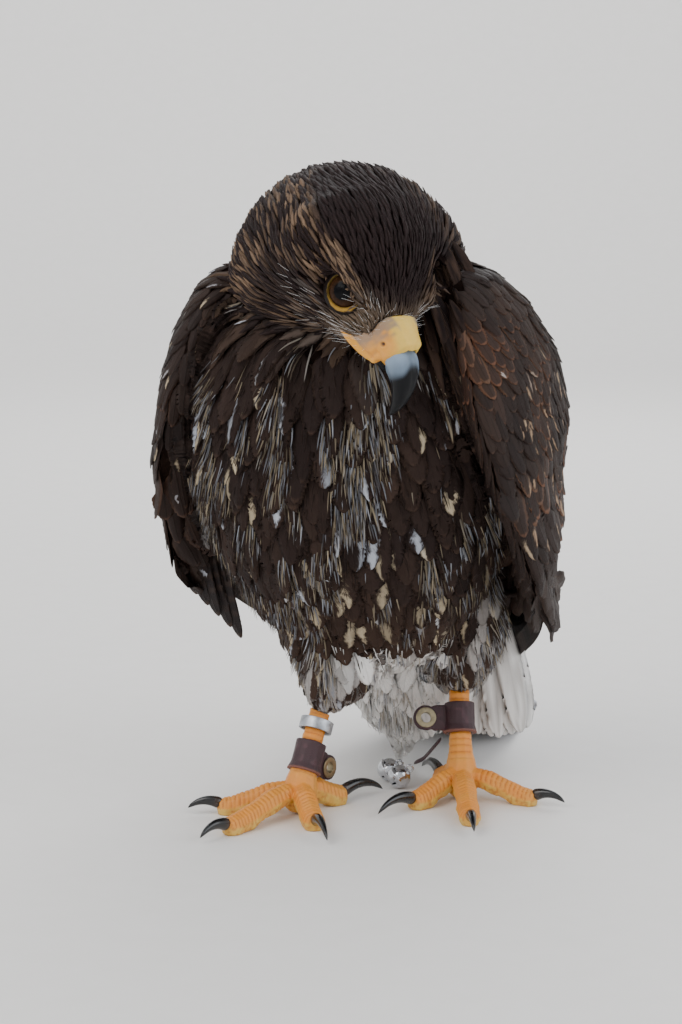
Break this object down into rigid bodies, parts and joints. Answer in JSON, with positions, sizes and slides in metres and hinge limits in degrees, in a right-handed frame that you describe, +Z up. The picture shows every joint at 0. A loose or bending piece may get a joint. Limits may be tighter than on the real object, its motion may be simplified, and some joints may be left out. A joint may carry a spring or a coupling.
{
  "type": "harris hawk model",
  "caption": "Still, life-size model of a young Harris's hawk standing hunched with its head bowed, with leather anklets, a leg ring and bells.",
  "frame": {"origin": "on the floor, below the middle of the whole model's box", "axes": "+Z up; -Y towards the viewer of the picture, which the breast roughly faces; +X to that viewer's right"},
  "size_m": [0.2092, 0.3336, 0.3104],
  "materials": {
    "body_feathers": "streaked soft contour feathers, matt",
    "head_feathers": "short dark crown and face feathers, matt",
    "wing_feathers": "brown coverts with rufous edges, slight sheen",
    "flight_feathers": "dark barred flight and tail feathers, slight sheen",
    "pale_feathers": "soft white coverts under the tail, matt",
    "bill_horn": "polished horn, blue-grey base to black tip",
    "cere_skin": "waxy yellow bare skin",
    "eye_glass": "wet, polished, dark brown iris",
    "leg_scales": "yellow-orange scutes, satin",
    "claw_horn": "polished black horn",
    "anklet_leather": "smooth dark greased leather with raw edges",
    "eyelet_brass": "dull nickelled brass",
    "ring_metal": "scuffed plain band",
    "bell_metal": "bright polished, lightly scratched"
  },
  "bodies": {
    "root": {"bill_upper": "bill_horn", "bill_lower": "bill_horn", "cere": "cere_skin", "eye_right": "eye_glass", "eye_left": "eye_glass", "head": "head_feathers", "neck": "body_feathers", "trunk": "body_feathers", "thigh_right": "body_feathers", "thigh_left": "body_feathers", "tail": "flight_feathers", "undertail": "pale_feathers", "wing_left": "wing_feathers", "flight_feathers_left": "flight_feathers", "wing_right": "wing_feathers", "flight_feathers_right": "flight_feathers", "tarsus_right": "leg_scales", "toe_right_outer": "leg_scales", "claw_right_outer": "claw_horn", "toe_right_middle": "leg_scales", "claw_right_middle": "claw_horn", "toe_right_inner": "leg_scales", "claw_right_inner": "claw_horn", "toe_right_hallux": "leg_scales", "claw_right_hallux": "claw_horn", "eyelet_right": "eyelet_brass", "ring": "ring_metal", "anklet_right": "anklet_leather", "tarsus_left": "leg_scales", "toe_left_outer": "leg_scales", "claw_left_outer": "claw_horn", "toe_left_middle": "leg_scales", "claw_left_middle": "claw_horn", "toe_left_inner": "leg_scales", "claw_left_inner": "claw_horn", "toe_left_hallux": "leg_scales", "claw_left_hallux": "claw_horn", "eyelet_left": "eyelet_brass", "anklet_left": "anklet_leather", "bell_front": "bell_metal", "bell_back": "bell_metal", "bewit": "anklet_leather"}
  },
  "joints": []
}
